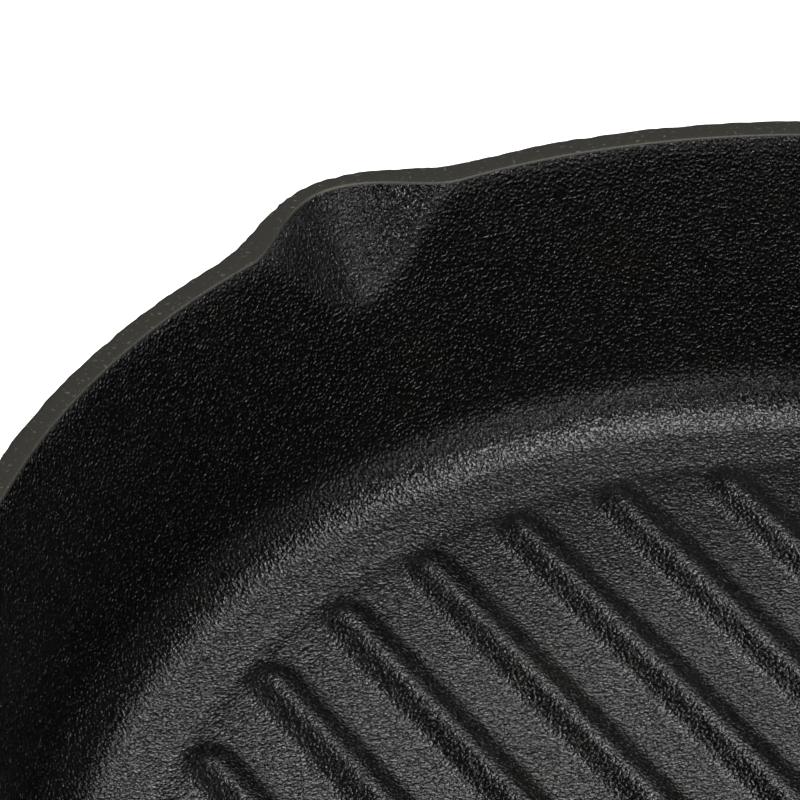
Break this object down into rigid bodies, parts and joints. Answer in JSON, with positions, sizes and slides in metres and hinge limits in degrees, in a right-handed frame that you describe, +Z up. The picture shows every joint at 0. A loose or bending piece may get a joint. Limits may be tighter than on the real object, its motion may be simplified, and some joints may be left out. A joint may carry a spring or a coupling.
{
  "type": "grill pan",
  "caption": "Round ribbed cast-iron grill pan with pouring spouts, a helper loop and a folding wooden handle with a sliding lock.",
  "frame": {"origin": "centre of the pan's flat underside", "axes": "+Z up, +X from the middle of the pan along the unfolded handle, ribs along Y; the pictured spout is the one at -Y"},
  "size_m": [0.5175, 0.2734, 0.0747],
  "materials": {
    "cast_iron": "seasoned, pebbly as-cast skin with a ground rim",
    "brushed_steel": "satin",
    "spring_steel": "blued, satin",
    "beech": "oiled"
  },
  "bodies": {
    "pan": {"pan_body": "cast_iron"},
    "handle": {"hinge_bolt": "brushed_steel", "hinge_cap_nut": "brushed_steel", "hinge_washer_left": "brushed_steel", "hinge_washer_right": "brushed_steel", "cheek_left": "brushed_steel", "cheek_right": "brushed_steel", "bracket_block": "brushed_steel", "rivet_front": "brushed_steel", "rivet_rear": "brushed_steel", "lock_cover": "brushed_steel", "cover_screw_left": "brushed_steel", "cover_screw_right": "brushed_steel", "cover_screw_rear": "brushed_steel", "lock_spring": "spring_steel", "front_ferrule": "brushed_steel", "tie_rod": "brushed_steel", "grip": "beech", "end_ferrule": "brushed_steel", "eye_nut": "brushed_steel"},
    "lock": {"lock_bolt": "brushed_steel", "lock_button": "brushed_steel"},
    "ring": {"hanging_ring": "brushed_steel"}
  },
  "joints": [
    {"name": "handle_fold", "type": "hinge", "parent": "pan", "child": "handle", "pos_m": [0.147, 0, 0.0425], "axis": [0, -1, 0], "range_deg": [0, 168]},
    {"name": "lock_slide", "type": "slide", "parent": "handle", "child": "lock", "axis": [-0.9781, 0, -0.2079], "range_m": [0, 0.0075]},
    {"name": "ring_swing", "type": "hinge", "parent": "handle", "child": "ring", "pos_m": [0.34654, 0, 0.06569], "axis": [0, 1, 0], "range_deg": [-240, 40]}
  ]
}
